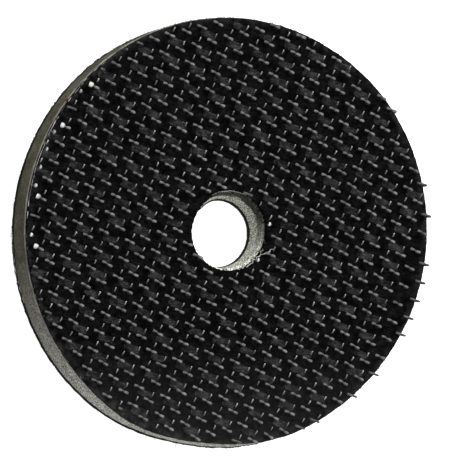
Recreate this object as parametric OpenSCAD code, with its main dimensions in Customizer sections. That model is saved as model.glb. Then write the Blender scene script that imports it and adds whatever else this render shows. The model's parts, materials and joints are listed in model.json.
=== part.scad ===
// Polishing pad: a die-cut hook-and-loop disc with a foam core and a centre hole.
// The loop face lies on the plane z = 0, the hooks point up, and the origin is the middle of the loop face.

/* [Pad] */
// Diameter across the foam body
pad_d = 50.8; // [40:0.2:70]
// How far the hook face stops short of the foam's edge, all round
face_inset = 0.4; // [0:0.1:1]
// Diameter of the centre hole through the foam and the loop face
centre_hole_d = 8.4; // [6:0.1:14]
// Diameter of the hole in the hook face
face_hole_d = 9.4; // [6:0.1:16]

/* [Layers] */
// Thickness of the brushed loop fabric
loop_fabric_t = 0.7; // [0.4:0.05:1.5]
// Thickness of the glue film between the loop fabric and the foam
rear_film_t = 0.1; // [0.05:0.05:0.3]
// Thickness of the foam core
foam_t = 3.6; // [2:0.1:10]
// Thickness of the glue film between the foam and the hook fabric
front_film_t = 0.15; // [0.05:0.05:0.3]
// Thickness of the coat that locks the hooks' yarn into the back of their fabric
binder_t = 0.2; // [0.05:0.05:0.4]
// Thickness of the woven ground that the hooks stand in
hook_fabric_t = 0.65; // [0.4:0.05:1.2]

/* [Hooks] */
// Diameter of the nylon filament that the hooks are cut from
filament_d = 0.24; // [0.14:0.01:0.28]
// Height of a hook above its ground fabric
hook_h = 1.3; // [1:0.05:1.8]
// Width of a hook, from the outside of its stem to its tip
crook_w = 1.3; // [0.9:0.05:1.6]
// Radius of the sharp shoulder between the stem and the crook, at the filament's middle
shoulder_r = 0.32; // [0.2:0.01:0.45]
// How far the crook bends down between the shoulder and its tip, in degrees
crook_bend = 50; // [20:1:80]
// Length of the cut leg that stands beside each hook
cut_leg_l = 0.6; // [0.3:0.05:0.9]
// How far the cut leg leans along its row, in degrees
cut_leg_lean = 46; // [0:1:50]
// Gap between a hook's tip and its cut leg, across the rows
cut_leg_gap = 0.38; // [0.1:0.01:0.6]
// How far the cut leg's foot stands back from its hook, along the row
cut_leg_back = 0.4; // [0:0.05:0.8]
// Distance between the hooks of one row
hook_pitch = 2.22; // [1.8:0.02:3]
// Distance between neighbouring rows
row_pitch = 1.71; // [1.4:0.01:2.5]
// Turn of the rows about the pad's axis, away from the Y axis
weave_angle = -19; // [-45:0.1:45]
// Where the rows lie, as a share of their distance
row_phase = 0.22; // [0:0.01:1]
// Where the hooks lie in their rows, as a share of theirs
hook_phase = 0.03; // [0:0.01:1]
// Least distance from a hook or a cut leg to the edge of its fabric
edge_margin = 0.05; // [0.05:0.05:1]

/* [Hidden] */
$fn = 96;
face_d = pad_d - 2 * face_inset;
face_r = face_d / 2;
filament_r = filament_d / 2;
filament_fn = 24;
cut = 1; // how far a hole's cutter runs past each face

// The heights at which the layers start, from the loop face up
rear_film_z = loop_fabric_t;
foam_z = rear_film_z + rear_film_t;
front_film_z = foam_z + foam_t;
binder_z = front_film_z + front_film_t;
hook_fabric_z = binder_z + binder_t;
hook_foot_z = hook_fabric_z + hook_fabric_t;

// A hook in its own plane, with X across the rows and its middle at X = 0. The
// stem stands at +X. The crook is an arc that starts level, over the shoulder's
// centre, and ends at the tip, at -X.
stem_x = crook_w / 2 - filament_r;
stem_h = hook_h - shoulder_r - filament_r;
shoulder_x = stem_x - shoulder_r;
crook_r = (crook_w - filament_d - shoulder_r) / sin(crook_bend);
crook_z = stem_h + shoulder_r - crook_r;
tip_x = shoulder_x - crook_r * sin(crook_bend);

// The cut leg is the other leg of the same woven loop, beyond the tip.
cut_leg_x = -crook_w / 2 - cut_leg_gap - filament_r;
cut_leg_reach = cut_leg_l * sin(cut_leg_lean);

// Whether a box with its lowest corner at [x1, y1] and its highest at [x2, y2]
// lies on the hook face, clear of its outer edge and of its hole.
function nearest_r(x1, x2, y1, y2) = norm([max(x1, min(0, x2)), max(y1, min(0, y2))]);
function furthest_r(x1, x2, y1, y2) =
    norm([max(abs(x1), abs(x2)), max(abs(y1), abs(y2))]);
function stays_on_face(x1, x2, y1, y2) =
    nearest_r(x1, x2, y1, y2) >= face_hole_d / 2 + edge_margin + filament_r
    && furthest_r(x1, x2, y1, y2) <= face_r - edge_margin - filament_r;

function row_x(row) = (row + row_phase) * row_pitch;
function hook_y(row, hook) = (hook + hook_phase + (row % 2 == 0 ? 0 : 0.5)) * hook_pitch;
function hook_fits(row, hook) =
    let (x = row_x(row), y = hook_y(row, hook))
    stays_on_face(x + tip_x, x + stem_x, y, y);
function cut_leg_fits(row, hook) =
    let (x = row_x(row) + cut_leg_x, y = hook_y(row, hook) - cut_leg_back)
    stays_on_face(x, x, y, y + cut_leg_reach);

most = ceil(face_r / min(hook_pitch, row_pitch)) + 1;
function hooks_in(row) = [for (hook = [-most:most]) if (hook_fits(row, hook)) hook];
function cut_legs_in(row) = [for (hook = [-most:most]) if (cut_leg_fits(row, hook)) hook];
rows = [for (row = [-most:most]) if (len(hooks_in(row)) > 0) row];
function row_name(n) = str("hook_row_", n < 9 ? "0" : "", n + 1);

module layer(d, hole_d, z, t) {
    translate([0, 0, z])
        difference() {
            cylinder(d = d, h = t);
            translate([0, 0, -cut]) cylinder(d = hole_d, h = t + 2 * cut);
        }
}

module loop_fabric() {
    color([0.10, 0.10, 0.11]) layer(pad_d, centre_hole_d, 0, loop_fabric_t);
}

module rear_adhesive_film() {
    color([0.55, 0.53, 0.48]) layer(pad_d, centre_hole_d, rear_film_z, rear_film_t);
}

module foam_core() {
    color([0.33, 0.32, 0.28]) layer(pad_d, centre_hole_d, foam_z, foam_t);
}

module front_adhesive_film() {
    color([0.55, 0.53, 0.48]) layer(face_d, face_hole_d, front_film_z, front_film_t);
}

module hook_binder_coat() {
    color([0.22, 0.22, 0.22]) layer(face_d, face_hole_d, binder_z, binder_t);
}

module hook_ground_fabric() {
    color([0.05, 0.05, 0.06]) layer(face_d, face_hole_d, hook_fabric_z, hook_fabric_t);
}

// A quarter or less of a ring in the XZ plane, from the angle a1 to a2 above +X.
module filament_arc(r, a1, a2) {
    rotate([90, -a1, 0])
        rotate_extrude(angle = a2 - a1)
            translate([r, 0]) circle(d = filament_d, $fn = filament_fn);
}

module hook() {
    translate([stem_x, 0, 0]) cylinder(d = filament_d, h = stem_h, $fn = filament_fn);
    translate([shoulder_x, 0, stem_h]) filament_arc(shoulder_r, 0, 90);
    translate([shoulder_x, 0, crook_z]) filament_arc(crook_r, 90, 90 + crook_bend);
}

// The leg's foot is below the fabric's face until hook_row cuts it off level.
module cut_leg() {
    translate([cut_leg_x, -cut_leg_back, 0])
        rotate([-cut_leg_lean, 0, 0])
            translate([0, 0, -filament_d])
                cylinder(d = filament_d, h = cut_leg_l + filament_d, $fn = filament_fn);
}

// One row: its hooks, and the cut legs of the same loops.
module hook_row(row) {
    color([0.12, 0.12, 0.13])
        rotate([0, 0, weave_angle])
            translate([row_x(row), 0, hook_foot_z]) {
                for (i = hooks_in(row)) translate([0, hook_y(row, i), 0]) hook();
                intersection() {
                    for (i = cut_legs_in(row)) translate([0, hook_y(row, i), 0]) cut_leg();
                    translate([-pad_d / 2, -pad_d / 2, 0]) cube([pad_d, pad_d, hook_h]);
                }
            }
}

loop_fabric();
rear_adhesive_film();
foam_core();
front_adhesive_film();
hook_binder_coat();
hook_ground_fabric();
for (n = [0:len(rows) - 1])
    hook_row(rows[n]);
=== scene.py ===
"""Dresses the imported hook-and-loop polishing pad in its visible detail.

The pad is a die-cut laminate. From the bottom up it is a brushed loop fabric, a
glue film, a foam core, a second film, the resin coat of a hook tape, the tape's
woven ground, and rows of nylon hooks. Each layer is rebuilt here in detail
inside the space that its CAD node holds, and each hook stands where its CAD
solid stands.
"""

from __future__ import annotations

import json
import logging
import math
from collections.abc import Callable, Sequence
from dataclasses import dataclass, field
from enum import Enum
from typing import ClassVar

import bmesh
import bpy
import numpy as np
from mathutils import Matrix, Vector

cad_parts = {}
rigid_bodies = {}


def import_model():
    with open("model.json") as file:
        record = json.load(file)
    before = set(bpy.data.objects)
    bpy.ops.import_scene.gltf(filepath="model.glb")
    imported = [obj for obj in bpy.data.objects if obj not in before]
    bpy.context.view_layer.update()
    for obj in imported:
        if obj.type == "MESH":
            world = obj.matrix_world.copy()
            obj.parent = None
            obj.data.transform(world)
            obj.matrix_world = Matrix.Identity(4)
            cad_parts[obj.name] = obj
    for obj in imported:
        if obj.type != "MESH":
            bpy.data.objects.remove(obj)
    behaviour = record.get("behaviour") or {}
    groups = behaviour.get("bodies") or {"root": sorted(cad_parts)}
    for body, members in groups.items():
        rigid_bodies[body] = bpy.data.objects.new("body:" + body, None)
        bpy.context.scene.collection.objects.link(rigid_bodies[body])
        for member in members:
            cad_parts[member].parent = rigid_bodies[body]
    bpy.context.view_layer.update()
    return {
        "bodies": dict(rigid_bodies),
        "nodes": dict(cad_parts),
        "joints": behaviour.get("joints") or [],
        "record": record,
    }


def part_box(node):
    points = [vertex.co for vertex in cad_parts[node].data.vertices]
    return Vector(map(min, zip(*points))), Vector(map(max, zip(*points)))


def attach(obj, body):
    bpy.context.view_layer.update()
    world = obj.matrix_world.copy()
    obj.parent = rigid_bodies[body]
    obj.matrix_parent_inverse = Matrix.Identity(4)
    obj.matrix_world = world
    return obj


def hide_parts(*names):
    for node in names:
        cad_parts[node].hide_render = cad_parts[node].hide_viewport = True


LOG = logging.getLogger("polishing_pad")

MM = 0.001
BODY = "root"

# How near a wall's radius or a layer's face a point counts as lying on it.
ON_WALL = 0.01 * MM

# Into how many steps a ring is divided: plain ones, and ones with a fine edge.
PLAIN_TURNS = 540
FINE_TURNS = 720

# How finely a hidden flat side of a ring is divided.
COARSE = 3.0 * MM

Colour = tuple[float, float, float]
Hump = tuple[float, float, float]
Shape = tuple[list[Vector], list[list[int]]]
Socket = bpy.types.NodeSocket
Inputs = dict[str | int, object]
Reshape = Callable[
    [np.ndarray, np.ndarray, np.ndarray], tuple[np.ndarray, np.ndarray]
]


# --------------------------------------------------------------------------
# Node trees
# --------------------------------------------------------------------------


class Graph:
    """A node tree, with one short way to add a node and join its inputs."""

    def __init__(self, tree: bpy.types.NodeTree) -> None:
        """Take the tree to build in.

        Args:
            tree: An empty node tree.
        """
        self.tree = tree

    def add(
        self, kind: str, inputs: Inputs | None = None, **settings: object
    ) -> bpy.types.Node:
        """Add a node.

        Args:
            kind: The node's type name.
            inputs: What goes into its inputs: a socket to join, or a value. An
                input is named by its number, its identifier or its name.
            settings: The node's own options.

        Returns:
            The new node.
        """
        node = self.tree.nodes.new(kind)
        for name, value in settings.items():
            setattr(node, name, value)
        for key, value in (inputs or {}).items():
            named = [s for s in node.inputs if s.identifier == key]
            target = named[0] if named else node.inputs[key]
            if isinstance(value, Socket):
                self.tree.links.new(value, target)
            else:
                target.default_value = value
        return node

    @staticmethod
    def output(node: bpy.types.Node, identifier: str) -> Socket:
        """Find a node's output.

        Args:
            node: The node.
            identifier: The output's identifier.

        Returns:
            The output's socket.
        """
        return next(s for s in node.outputs if s.identifier == identifier)

    def maths(self, operation: str, *values: object) -> Socket:
        """Add one step of arithmetic.

        Args:
            operation: The Math node's operation.
            values: Its one, two or three inputs.

        Returns:
            The result's socket.
        """
        inputs: Inputs = dict(enumerate(values))
        return self.add("ShaderNodeMath", inputs, operation=operation).outputs[0]

    def plus(self, first: object, second: object) -> Socket:
        """Add two numbers.

        Args:
            first: One of them.
            second: The other.

        Returns:
            The sum's socket.
        """
        return self.maths("ADD", first, second)

    def times(self, first: object, second: object) -> Socket:
        """Multiply two numbers.

        Args:
            first: One of them.
            second: The other.

        Returns:
            The product's socket.
        """
        return self.maths("MULTIPLY", first, second)

    def vector(self, operation: str, *values: object) -> Socket:
        """Add one step of vector arithmetic.

        Args:
            operation: The Vector Math node's operation.
            values: Its inputs.

        Returns:
            The result's socket.
        """
        inputs: Inputs = dict(enumerate(values))
        return self.add("ShaderNodeVectorMath", inputs, operation=operation).outputs[0]

    def spread(
        self,
        value: Socket,
        low: float,
        high: float,
        start: float = 0.0,
        end: float = 1.0,
    ) -> Socket:
        """Stretch a range of a number over another, and hold it there.

        Args:
            value: The number.
            low: Where the range starts.
            high: Where it ends.
            start: What the range's start becomes.
            end: What its end becomes.

        Returns:
            The stretched number.
        """
        inputs: Inputs = {
            "Value": value,
            "From Min": low,
            "From Max": high,
            "To Min": start,
            "To Max": end,
        }
        return self.add("ShaderNodeMapRange", inputs, clamp=True).outputs["Result"]


class FinishGraph(Graph):
    """The node tree of one finish, round a Principled shader."""

    def __init__(self, name: str) -> None:
        """Make the material with its shader and its own Object coordinates.

        Args:
            name: The material's name.
        """
        self.material = bpy.data.materials.new(name)
        self.material.use_nodes = True
        super().__init__(self.material.node_tree)
        self.tree.nodes.clear()
        self.shader = self.add("ShaderNodeBsdfPrincipled")
        self.add("ShaderNodeOutputMaterial", {"Surface": self.shader.outputs["BSDF"]})
        self.place = self.add("ShaderNodeTexCoord").outputs["Object"]

    def set(self, **values: object) -> None:
        """Set or join the shader's own inputs.

        Args:
            values: Socket names with underscores for spaces, and what goes in.
        """
        for name, value in values.items():
            target = self.shader.inputs[name.replace("_", " ")]
            if isinstance(value, Socket):
                self.tree.links.new(value, target)
            elif isinstance(value, tuple):
                target.default_value = (*value, 1.0)
            else:
                target.default_value = value

    def turned(self, angle: float, scale: Sequence[float]) -> Socket:
        """Turn and stretch the Object coordinates.

        Args:
            angle: Which way the first turned axis points, in radians from X.
            scale: Factors along the three turned axes.

        Returns:
            The new coordinates.
        """
        level = self.add(
            "ShaderNodeVectorRotate", {"Vector": self.place, "Angle": -angle}
        )
        return self.vector("MULTIPLY", level.outputs[0], tuple(scale))

    def noise(
        self, size: float, detail: float = 2.0, where: Socket | None = None
    ) -> Socket:
        """Add soft random blotches.

        Args:
            size: The blotches' size, in metres.
            detail: How many finer layers they have.
            where: Other coordinates than the piece's own.

        Returns:
            A number from 0 to 1.
        """
        inputs: Inputs = {
            "Vector": where or self.place,
            "Scale": 1.0 / size,
            "Detail": detail,
            "Roughness": 0.6,
        }
        return self.add("ShaderNodeTexNoise", inputs).outputs["Fac"]

    def cells(self, size: float) -> Socket:
        """Add random cells.

        Args:
            size: A cell's size, in metres.

        Returns:
            The distance from the nearest cell's middle, about 0 to 1.
        """
        inputs: Inputs = {"Vector": self.place, "Scale": 1.0 / size}
        return self.add("ShaderNodeTexVoronoi", inputs).outputs["Distance"]

    def attribute(self, name: str) -> Socket:
        """Read a number that the piece's mesh carries.

        Args:
            name: The attribute's name.

        Returns:
            The number.
        """
        return self.add("ShaderNodeAttribute", attribute_name=name).outputs["Fac"]

    def axis(self, number: int) -> Socket:
        """Read one of the Object coordinates.

        Args:
            number: 0 for X, 1 for Y, 2 for Z.

        Returns:
            The coordinate, in metres.
        """
        return self.add("ShaderNodeSeparateXYZ", {0: self.place}).outputs[number]

    def radius(self) -> Socket:
        """Measure the distance from the pad's axis.

        Returns:
            The distance, in metres.
        """
        flat = self.vector("MULTIPLY", self.place, (1.0, 1.0, 0.0))
        length = self.add("ShaderNodeVectorMath", {0: flat}, operation="LENGTH")
        return length.outputs["Value"]

    def blend(
        self, share: Socket, first: Colour | Socket, second: Colour | Socket
    ) -> Socket:
        """Mix two colours.

        Args:
            share: How much of the second.
            first: The colour at 0.
            second: The colour at 1.

        Returns:
            The mixed colour.
        """
        inputs: Inputs = {"Factor_Float": share}
        for key, colour in (("A_Color", first), ("B_Color", second)):
            inputs[key] = (*colour, 1.0) if isinstance(colour, tuple) else colour
        node = self.add("ShaderNodeMix", inputs, data_type="RGBA")
        return self.output(node, "Result_Color")

    def bump(self, height: Socket, depth: float, strength: float = 1.0) -> None:
        """Roughen the surface.

        Args:
            height: The relief, from 0 to 1.
            depth: The relief's full depth, in metres.
            strength: How much of it shows.
        """
        inputs: Inputs = {"Height": height, "Distance": depth, "Strength": strength}
        self.set(Normal=self.add("ShaderNodeBump", inputs).outputs["Normal"])


# --------------------------------------------------------------------------
# Finishes
# --------------------------------------------------------------------------


@dataclass(frozen=True)
class FoamFinish:
    """Cut foam of fine cells: olive grey at the rim, darkened there by painted shade, and paler in
    the hole and the south by painted light.
    """

    # Painted shade: the rim's colour is darker than the foam is, as if its outer wall lay in shade.
    skin: Colour = (0.118, 0.112, 0.070)
    dust: Colour = (0.20, 0.195, 0.145)
    # Painted light: the rim's colour on its south side, where light falls from below.
    south_light: Colour = (0.62, 0.615, 0.56)
    # Painted light: the hole's wall is far paler than the rim, standing for light through the hole.
    inside: Colour = (0.84, 0.86, 0.76)
    # Glue stain and painted shade: the dark band at the top of the hole's wall.
    glue_stain_shade: Colour = (0.055, 0.05, 0.038)
    # Painted shade: the colour of the foam's pores.
    pore_shade: Colour = (0.03, 0.028, 0.022)
    cell: float = 0.24 * MM
    grain: float = 0.16 * MM
    glue_stain_shade_fade: float = 0.8 * MM

    def material(
        self, hole_r: float, outer_r: float, glue_stain_shade_from: float
    ) -> bpy.types.Material:
        """Build the finish.

        Args:
            hole_r: The centre hole's radius.
            outer_r: The foam's outer radius.
            glue_stain_shade_from: The height from which glue stain and painted shade darken the
                hole's wall.

        Returns:
            The material.
        """
        graph = FinishGraph("cut_foam")
        north, height = graph.axis(1), graph.axis(2)
        outwards = graph.spread(graph.radius(), 1.2 * hole_r, 0.9 * outer_r)
        # Painted light: the rim grows paler towards the south.
        south_light_share = graph.spread(north, -0.12 * outer_r, -0.82 * outer_r)
        dusty = graph.spread(graph.noise(2.2 * MM, 4.0), 0.42, 0.66)
        rim = graph.blend(south_light_share, graph.blend(dusty, self.skin, self.dust), self.south_light)
        seep = graph.spread(graph.noise(0.9 * MM, 3.0), 0.3, 0.7, -0.5 * MM, 0.5 * MM)
        # Glue stain and painted shade: the hole's wall darkens near its top, under the fabric's
        # edge, and most on its north side, which faces away from the light.
        glue_stain_shade_share = graph.times(
            graph.spread(graph.plus(height, seep), glue_stain_shade_from, glue_stain_shade_from + self.glue_stain_shade_fade),
            graph.spread(north, -0.8 * hole_r, 0.4 * hole_r, 0.12, 1.0),
        )
        bore = graph.blend(glue_stain_shade_share, self.inside, self.glue_stain_shade)
        # The blend from the pale bore to the dark rim is painted light and painted shade.
        toned = graph.vector("SCALE", graph.blend(outwards, bore, rim))
        tone = self._tone(graph, outwards, south_light_share)
        graph.tree.links.new(tone, toned.node.inputs["Scale"])
        cell = graph.cells(self.cell)
        # Painted shade: the middle of each cell is darkened as a pore in shade.
        pore_shade_share = graph.times(graph.spread(cell, 0.12, 0.42, 1.0, 0.0), 0.75)
        graph.set(
            Base_Color=graph.blend(pore_shade_share, toned, self.pore_shade),
            Roughness=0.82,
            Specular_IOR_Level=0.3,
        )
        relief = graph.plus(cell, graph.times(graph.cells(0.5 * self.cell), 0.5))
        graph.bump(relief, 0.06 * MM, 0.9)
        return graph.material

    def _tone(self, graph: FinishGraph, outwards: Socket, south_light_share: Socket) -> Socket:
        """Vary how light the foam is, most in the hole and on the rim's south side, which carries
        painted light.

        Args:
            graph: The node tree of the finish.
            outwards: 0 at the hole and 1 at the rim.
            south_light_share: How much painted light the rim's south side carries.

        Returns:
            The factor to scale the colour by.
        """
        coarse = graph.spread(graph.noise(0.6 * MM, 3.0), 0.3, 0.7, 0.7, 1.2)
        speck = graph.spread(graph.noise(self.grain, 1.0), 0.36, 0.62, 0.1, 1.9)
        calm = graph.plus(
            graph.spread(outwards, 0.0, 1.0, 1.0, 0.45),
            graph.times(graph.times(outwards, south_light_share), 0.45),
        )
        uneven = graph.times(graph.maths("SUBTRACT", speck, 1.0), calm)
        return graph.times(coarse, graph.plus(1.0, uneven))


@dataclass(frozen=True)
class WovenFinish:
    """Black yarn, coated and a little dusty, worn pale at the rim, and paler towards the south."""

    name: str = "woven_ground"
    yarn: Colour = (0.0007, 0.00065, 0.0009)
    worn: Colour = (0.030, 0.0295, 0.0295)
    strand: float = 0.09 * MM
    strand_length: float = 6.0 * 0.09 * MM
    strand_depth: float = 0.25 * MM
    wear_from: float = 24.2 * MM
    south_paling: float = 0.26

    def material(self, angle: float, outer_r: float) -> bpy.types.Material:
        """Build the finish.

        Args:
            angle: Which way the weft runs, in radians from X.
            outer_r: The fabric's outer radius.

        Returns:
            The material.
        """
        graph = FinishGraph(self.name)
        sizes = (self.strand_length, self.strand, self.strand_depth)
        along = graph.turned(angle, [1.0 / size for size in sizes])
        strands = graph.add(
            "ShaderNodeTexNoise", {"Vector": along, "Scale": 1.0, "Detail": 2.0}
        ).outputs["Fac"]
        edge = graph.spread(graph.radius(), self.wear_from, outer_r)
        patchy = graph.spread(graph.noise(1.1 * MM, 4.0), 0.38, 0.66)
        fine = graph.noise(0.14 * MM, 1.0)
        grain = graph.spread(graph.times(strands, fine), 0.15, 0.36)
        wear = graph.plus(
            graph.times(edge, graph.times(patchy, 0.7)),
            graph.times(graph.plus(patchy, 0.1), graph.times(grain, 0.45)),
        )
        # Paler towards the south.
        southward = graph.spread(
            graph.axis(1), -0.5 * outer_r, -0.98 * outer_r, 0.0, self.south_paling
        )
        graph.set(
            Base_Color=graph.blend(graph.plus(wear, southward), self.yarn, self.worn),
            Roughness=0.8,
            Specular_IOR_Level=0.025,
        )
        graph.bump(strands, 0.05 * MM, 0.8)
        return graph.material


@dataclass(frozen=True)
class FilamentFinish:
    """Black nylon filament, whitened where it was cut, and with painted glints and highlights on
    the hooks.
    """

    nylon: Colour = (0.05, 0.05, 0.054)
    # Painted glint and painted highlight: the white that hook tips, crown lobes and cut legs are
    # blended towards.
    whitened: Colour = (0.72, 0.72, 0.70)
    roughness: float = 0.40
    patch: float = 1.4 * MM

    def material(self) -> bpy.types.Material:
        """Build the finish.

        Returns:
            The material.
        """
        graph = FinishGraph("nylon_filament")
        scuff = graph.spread(graph.noise(0.25 * MM, 2.0), 0.45, 0.75, 0.0, 0.22)
        uneven = graph.spread(graph.noise(self.patch, 1.0), 0.36, 0.64, 0.45, 1.3)
        # The mesh's whitening attribute carries painted glints and highlights on the hooks, and
        # whitening on the frayed ends.
        marked = graph.times(graph.attribute("strain_and_glint"), uneven)
        share = graph.maths("MAXIMUM", marked, graph.times(scuff, 0.12))
        graph.set(
            Base_Color=graph.blend(share, self.nylon, self.whitened),
            Roughness=graph.spread(scuff, 0.0, 0.2, self.roughness, 0.52),
            IOR=1.53,
            Specular_IOR_Level=0.5,
        )
        graph.bump(graph.noise(0.12 * MM, 2.0), 0.012 * MM, 0.5)
        return graph.material


@dataclass(frozen=True)
class Blotches:
    """Soft blotches: their size, their finer layers, and where they fade in."""

    size: float
    detail: float
    low: float
    high: float


@dataclass(frozen=True)
class Relief:
    """A fine relief: the size of its lumps, their finer layers, depth and strength."""

    size: float
    detail: float
    depth: float
    strength: float


@dataclass(frozen=True)
class BlotchFinish:
    """Two colours in soft blotches over a fine relief, as films and fibres have."""

    name: str
    base: Colour
    patch: Colour
    blotches: Blotches
    relief: Relief
    roughness: float
    specular: float = 0.5
    sheen: float = 0.0

    def material(self) -> bpy.types.Material:
        """Build the finish.

        Returns:
            The material.
        """
        graph = FinishGraph(self.name)
        spots, relief = self.blotches, self.relief
        share = graph.spread(graph.noise(spots.size, spots.detail), spots.low, spots.high)
        graph.set(
            Base_Color=graph.blend(share, self.base, self.patch),
            Roughness=self.roughness,
            Specular_IOR_Level=self.specular,
            Sheen_Weight=self.sheen,
            Sheen_Roughness=0.4,
        )
        lumps = graph.noise(relief.size, relief.detail)
        graph.bump(lumps, relief.depth, relief.strength)
        return graph.material


def loop_finish(name: str, fibre: Colour, lint: Colour) -> BlotchFinish:
    """Choose the finish of brushed black nylon.

    Args:
        name: The material's name.
        fibre: Its colour.
        lint: Its colour where lint lies on it.

    Returns:
        The finish.
    """
    spots = Blotches(1.4 * MM, 5.0, 0.45, 0.72)
    relief = Relief(0.09 * MM, 3.0, 0.04 * MM, 0.8)
    return BlotchFinish(name, fibre, lint, spots, relief, 0.7, specular=0.2, sheen=0.04)


def scrap_finish(name: str, colour: Colour, shade: Colour) -> BlotchFinish:
    """Choose the finish of a loose fibre or scrap that the die left on the edge.

    Args:
        name: The material's name.
        colour: Its colour.
        shade: Its darker colour.

    Returns:
        The finish.
    """
    spots = Blotches(0.4 * MM, 3.0, 0.4, 0.65)
    relief = Relief(0.1 * MM, 2.0, 0.01 * MM, 0.5)
    return BlotchFinish(name, colour, shade, spots, relief, 0.45)


GLUE_FILM = BlotchFinish(
    "glue_film",
    base=(0.46, 0.44, 0.37),
    patch=(0.16, 0.155, 0.135),
    blotches=Blotches(1.6 * MM, 4.0, 0.4, 0.66),
    relief=Relief(0.3 * MM, 3.0, 0.03 * MM, 0.6),
    roughness=0.4,
)
BINDER_RESIN = BlotchFinish(
    "binder_resin",
    base=(0.018, 0.017, 0.015),
    patch=(0.06, 0.057, 0.05),
    blotches=Blotches(0.5 * MM, 4.0, 0.5, 0.7),
    relief=Relief(0.2 * MM, 3.0, 0.04 * MM, 0.8),
    roughness=0.5,
)
LOOP_BASE = loop_finish("loop_base", (0.008, 0.008, 0.009), (0.03, 0.03, 0.03))
LOOP_YARN = loop_finish("loop_yarn", (0.018, 0.018, 0.019), (0.08, 0.08, 0.08))
PALE_FIBRE_AND_GLINT = scrap_finish("pale_fibre_and_glint", (0.80, 0.79, 0.72), (0.45, 0.44, 0.38))
RUST_SCRAP = scrap_finish("rust_scrap", (0.34, 0.15, 0.06), (0.12, 0.07, 0.04))


@dataclass(frozen=True)
class FloorFinish:
    """Plain white studio sweep, lit evenly."""

    white: Colour = (0.92, 0.92, 0.92)
    glow: float = 0.8

    def material(self) -> bpy.types.Material:
        """Build the finish.

        Returns:
            The material.
        """
        graph = FinishGraph("studio_floor")
        graph.set(
            Base_Color=self.white,
            Roughness=0.9,
            Emission_Color=(1.0, 1.0, 1.0),
            Emission_Strength=self.glow,
        )
        return graph.material


# --------------------------------------------------------------------------
# Meshes
# --------------------------------------------------------------------------


def make_object(
    name: str,
    vertices: Sequence[Sequence[float]],
    faces: Sequence[Sequence[int]],
    strain_and_glint: Sequence[float] | None = None,
) -> bpy.types.Object:
    """Make a smooth closed mesh at the origin, its faces turned outwards.

    Args:
        name: The object's name.
        vertices: Three coordinates for each vertex.
        faces: The vertices of each face.
        strain_and_glint: How whitened each vertex is, by strain and by painted glint.

    Returns:
        The object, linked to the scene.
    """
    mesh = bpy.data.meshes.new(name)
    mesh.from_pydata(vertices, [], faces)
    shell = bmesh.new()
    shell.from_mesh(mesh)
    bmesh.ops.recalc_face_normals(shell, faces=shell.faces)
    shell.to_mesh(mesh)
    shell.free()
    if strain_and_glint:
        layer = mesh.attributes.new("strain_and_glint", "FLOAT", "POINT")
        layer.data.foreach_set("value", strain_and_glint)
    mesh.shade_smooth()
    mesh.update()
    thing = bpy.data.objects.new(name, mesh)
    bpy.context.scene.collection.objects.link(thing)
    return thing


def walk(corners: Sequence[tuple[float, float]], steps: Sequence[float]) -> np.ndarray:
    """Divide the sides of a closed section.

    Args:
        corners: Radius and height of each corner, in order round the section.
        steps: The longest piece that each side may be cut into.

    Returns:
        One row of radius and height for each point round the section.
    """
    points = []
    for start, end, step in zip(corners, [*corners[1:], corners[0]], steps):
        count = max(1, math.ceil(math.dist(start, end) / step))
        for part in range(count):
            share = part / count
            points.append([s + (e - s) * share for s, e in zip(start, end)])
    return np.array(points)


def ring_shell(
    name: str, section: np.ndarray, turns: int, reshape: Reshape | None = None
) -> bpy.types.Object:
    """Sweep a closed section round the pad's axis.

    Args:
        name: The object's name.
        section: Radius and height of each point of the section.
        turns: How many steps the sweep takes.
        reshape: Takes radius, height and angle, and gives new radius and height.

    Returns:
        The closed ring.
    """
    count = len(section)
    angle = np.repeat(
        np.linspace(0.0, math.tau, turns, endpoint=False)[:, None], count, axis=1
    )
    radius = np.repeat(section[None, :, 0], turns, axis=0)
    height = np.repeat(section[None, :, 1], turns, axis=0)
    if reshape:
        radius, height = reshape(radius, height, angle)
    corners = np.stack(
        [radius * np.cos(angle), radius * np.sin(angle), height], axis=-1
    ).reshape(-1, 3)
    index = np.arange(turns * count).reshape(turns, count)
    beside = np.roll(index, -1, axis=1)
    quads = np.stack(
        [index, beside, np.roll(beside, -1, axis=0), np.roll(index, -1, axis=0)],
        axis=-1,
    ).reshape(-1, 4)
    return make_object(name, corners.tolist(), quads.tolist())


def ripple(angle: np.ndarray, seed: int, orders: Sequence[int]) -> np.ndarray:
    """Make an uneven wave round the axis that closes on itself.

    Args:
        angle: The angles, in radians.
        seed: Which wave.
        orders: How many waves each part has in a turn.

    Returns:
        Heights between about -1 and 1.
    """
    random = np.random.default_rng(seed)
    total = np.zeros_like(angle)
    for order in orders:
        total += np.sin(order * angle + random.uniform(0.0, math.tau)) * (
            random.uniform(0.5, 1.0)
        )
    return total / math.sqrt(len(orders))


def humps(angle: np.ndarray, places: Sequence[Hump]) -> np.ndarray:
    """Add up smooth humps at places round the axis.

    Args:
        angle: Angles round the axis, in radians.
        places: For each hump its angle and width in degrees, and its height.

    Returns:
        The height at each angle.
    """
    total = np.zeros_like(angle)
    for middle, wide, high in places:
        away = (np.degrees(angle) - middle + 180.0) % 360.0 - 180.0
        total += high * np.exp(-((away / wide) ** 2))
    return total


def bezier(controls: Sequence[Vector], count: int, end: float = 1.0) -> list[Vector]:
    """Walk along a Bezier curve of four controls.

    Args:
        controls: Its start, two handles and end.
        count: How many points to give.
        end: The share of the curve at which to stop.

    Returns:
        The points.
    """
    first, second, third, last = controls
    points = []
    for number in range(count):
        t = end * number / (count - 1)
        s = 1.0 - t
        points.append(
            first * s**3 + second * (3 * s * s * t) + third * (3 * s * t * t) + last * t**3
        )
    return points


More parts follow.
